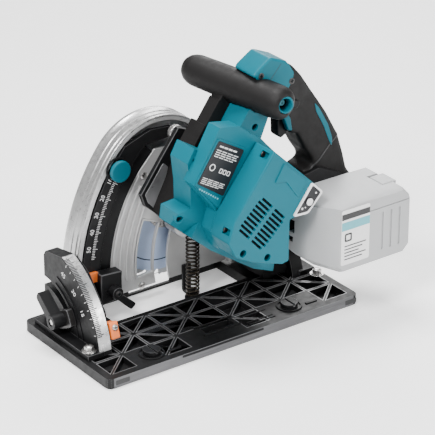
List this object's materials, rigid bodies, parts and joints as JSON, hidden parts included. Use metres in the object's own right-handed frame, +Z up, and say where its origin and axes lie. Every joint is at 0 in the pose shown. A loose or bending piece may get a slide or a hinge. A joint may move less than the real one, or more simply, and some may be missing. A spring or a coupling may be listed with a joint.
{
  "type": "plunge-cut circular saw",
  "caption": "Cordless plunge-cut circular saw on a ribbed guide base, with bevel quadrants, swinging motor head, half-round blade case and slide-on battery pack.",
  "frame": {"origin": "middle of the sole, on the face that rests on the work", "axes": "+X towards the rear of the saw, where the battery is; +Y towards the blade side; +Z up"},
  "size_m": [0.381, 0.215, 0.3203],
  "materials": {
    "teal_plastic": "moulded, satin gloss",
    "black_plastic": "moulded, fine texture",
    "grip_rubber": "soft grip, fine texture",
    "black_casting": "die cast, black coated",
    "silver_casting": "die cast, silver",
    "steel": "machined",
    "dark_steel": "oiled black",
    "blade_coating": "coated blade",
    "orange_plastic": "moulded",
    "pale_plastic": "moulded, pale grey",
    "white_plastic": "moulded",
    "copper": "wound copper wire",
    "circuit_board": "coated board"
  },
  "bodies": {
    "base": {"base_plate": "black_casting", "base_bolt_front": "steel", "base_bolt_rear": "steel", "front_quadrant": "black_casting", "rear_quadrant": "black_casting"},
    "rail_adjuster_front": {"rail_adjuster_front": "black_plastic"},
    "rail_adjuster_rear": {"rail_adjuster_rear": "black_plastic"},
    "case": {"blade_case": "silver_casting", "depth_guide": "black_plastic", "inner_cover": "silver_casting", "case_bracket_front": "black_casting", "pivot_bracket": "black_casting", "plunge_pin": "steel", "clamp_bolt_front": "steel", "bevel_pointer": "orange_plastic", "return_spring": "dark_steel", "spring_seat": "black_casting"},
    "clamp_lever": {"clamp_lever_front": "black_plastic"},
    "depth_stop": {"depth_stop": "black_plastic", "depth_pointer": "orange_plastic"},
    "depth_stop_lever": {"depth_stop_lever": "black_plastic"},
    "scoring_button": {"scoring_stop_button": "teal_plastic"},
    "dust_nozzle": {"dust_nozzle": "black_plastic"},
    "head": {"motor_end_cap": "teal_plastic", "motor_housing": "teal_plastic", "grip_housing": "black_plastic", "gear_case": "silver_casting", "front_grip": "grip_rubber", "grip_ring": "teal_plastic", "handle_shell_near": "grip_rubber", "handle_shell_far": "grip_rubber", "battery_mount": "black_plastic", "rating_plate": "dark_steel", "link_panel": "black_plastic", "stator": "copper", "controller_board": "circuit_board", "motor_bearing_front": "steel", "motor_bearing_rear": "steel", "switch_body": "black_plastic", "terminal_block": "copper", "mode_link": "black_plastic"},
    "mode_knob": {"mode_knob": "silver_casting"},
    "link_button": {"link_button": "white_plastic"},
    "trigger": {"trigger": "black_plastic"},
    "lock_off": {"lock_off_button": "black_plastic"},
    "battery": {"battery_pack": "pale_plastic"},
    "battery_button": {"battery_button": "black_plastic"},
    "blade_set": {"spindle": "steel", "blade_gear": "steel", "inner_flange": "steel", "outer_flange": "steel", "blade": "blade_coating", "blade_bolt": "dark_steel"},
    "idler": {"idler_shaft": "steel"},
    "rotor": {"rotor_core": "dark_steel", "rotor_shaft": "steel", "cooling_fan": "black_plastic"}
  },
  "joints": [
    {"name": "bevel", "type": "hinge", "parent": "base", "child": "case", "pos_m": [0, 0.073, 0], "axis": [-1, 0, 0], "range_deg": [0, 48]},
    {"name": "plunge", "type": "hinge", "parent": "case", "child": "head", "pos_m": [0.1175, 0.015, 0.05], "axis": [0, -1, 0], "range_deg": [0, 38], "stiffness_Nm_per_rad": 5, "springref_deg": -68.75, "deforming": ["return_spring"]},
    {"name": "rail_adjust_front", "type": "hinge", "parent": "base", "child": "rail_adjuster_front", "pos_m": [-0.0995, -0.062, 0.012], "axis": [0, 0, 1], "range_deg": [0, 90]},
    {"name": "rail_adjust_rear", "type": "hinge", "parent": "base", "child": "rail_adjuster_rear", "pos_m": [0.0885, -0.062, 0.012], "axis": [0, 0, 1], "range_deg": [0, 90]},
    {"name": "bevel_clamp", "type": "hinge", "parent": "case", "child": "clamp_lever", "pos_m": [-0.1665, 0.02284, 0.03644], "axis": [1, 0, 0], "range_deg": [0, 60]},
    {"name": "depth_setting", "type": "hinge", "parent": "case", "child": "depth_stop", "pos_m": [0.1175, 0.043, 0.05], "axis": [0, 1, 0], "range_deg": [0, 26]},
    {"name": "depth_stop_clamp", "type": "hinge", "parent": "depth_stop", "child": "depth_stop_lever", "pos_m": [-0.0825, 0.032, 0.042], "axis": [0, -1, 0], "range_deg": [0, 35]},
    {"name": "scoring_stop", "type": "slide", "parent": "case", "child": "scoring_button", "axis": [0, 1, 0], "range_m": [0, 0.004], "stiffness_N_per_m": 400, "springref_m": -0.003},
    {"name": "nozzle_swivel", "type": "hinge", "parent": "case", "child": "dust_nozzle", "pos_m": [0.1195, 0.067, 0.104], "axis": [1, 0, 0], "continuous": true},
    {"name": "mode_select", "type": "hinge", "parent": "head", "child": "mode_knob", "pos_m": [-0.00628, 0.023, 0.21961], "axis": [0, 1, 0], "range_deg": [0, 60]},
    {"name": "link_press", "type": "slide", "parent": "head", "child": "link_button", "axis": [0, 1, 0], "range_m": [0, 0.0008], "stiffness_N_per_m": 600, "springref_m": -0.002},
    {"name": "trigger_pull", "type": "hinge", "parent": "head", "child": "trigger", "pos_m": [0.09094, -0.037, 0.242], "axis": [0, -1, 0], "range_deg": [0, 12], "stiffness_Nm_per_rad": 0.6, "springref_deg": -22.92},
    {"name": "lock_off_press", "type": "slide", "parent": "head", "child": "lock_off", "axis": [0, 1, 0], "range_m": [0, 0.004], "stiffness_N_per_m": 400, "springref_m": -0.003},
    {"name": "battery_slide", "type": "slide", "parent": "head", "child": "battery", "axis": [1, 0, 0], "range_m": [0, 0.1]},
    {"name": "battery_release", "type": "slide", "parent": "battery", "child": "battery_button", "axis": [0, 0, -1], "range_m": [0, 0.003], "stiffness_N_per_m": 500, "springref_m": -0.002},
    {"name": "blade_spin", "type": "hinge", "parent": "head", "child": "blade_set", "pos_m": [0.0071, 0.069, 0.10658], "axis": [0, 1, 0], "continuous": true},
    {"name": "idler_spin", "type": "hinge", "parent": "head", "child": "idler", "pos_m": [0.01049, 0.019, 0.12578], "axis": [0, 1, 0], "continuous": true},
    {"name": "rotor_spin", "type": "hinge", "parent": "head", "child": "rotor", "pos_m": [0.0153, -0.051, 0.15311], "axis": [0, 1, 0], "continuous": true}
  ],
  "couplings": [
    {"joint": "idler_spin", "follows": "blade_spin", "ratio": -1.8889},
    {"joint": "rotor_spin", "follows": "blade_spin", "ratio": 3.9352}
  ]
}
